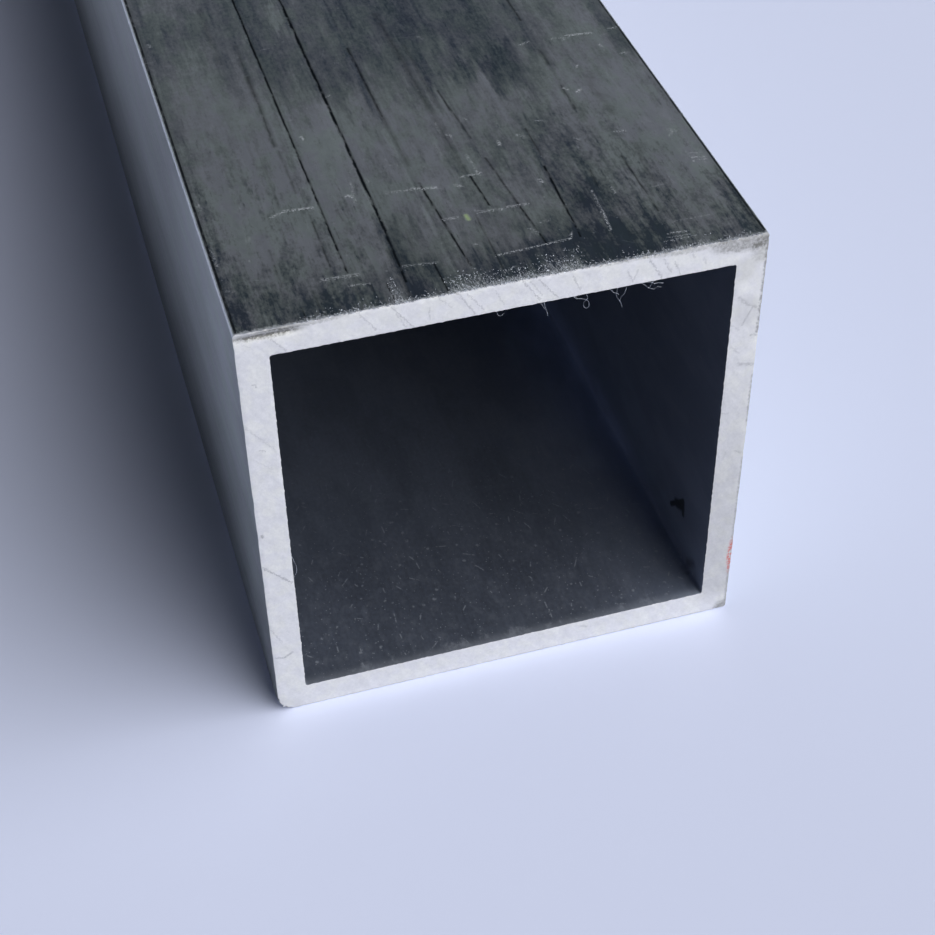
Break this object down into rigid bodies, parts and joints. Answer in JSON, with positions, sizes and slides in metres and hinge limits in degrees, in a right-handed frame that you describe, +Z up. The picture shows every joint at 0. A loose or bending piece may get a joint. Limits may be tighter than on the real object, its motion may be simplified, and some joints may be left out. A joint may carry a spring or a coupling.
{
  "type": "square metal tube",
  "caption": "Length of square aluminium box section, sharp-cornered and open right through, with plain saw-cut ends, as framing stock.",
  "frame": {"origin": "middle of the lower side, which the tube lies on, halfway along its length", "axes": "+X across the section to the right of the pictured end, +Y along the tube away from that end, +Z up"},
  "size_m": [0.05, 0.5, 0.05],
  "materials": {
    "mill_aluminium": "mill, handled and dusty; bright where it is sawn"
  },
  "bodies": {
    "root": {"square_tube": "mill_aluminium"}
  },
  "joints": []
}
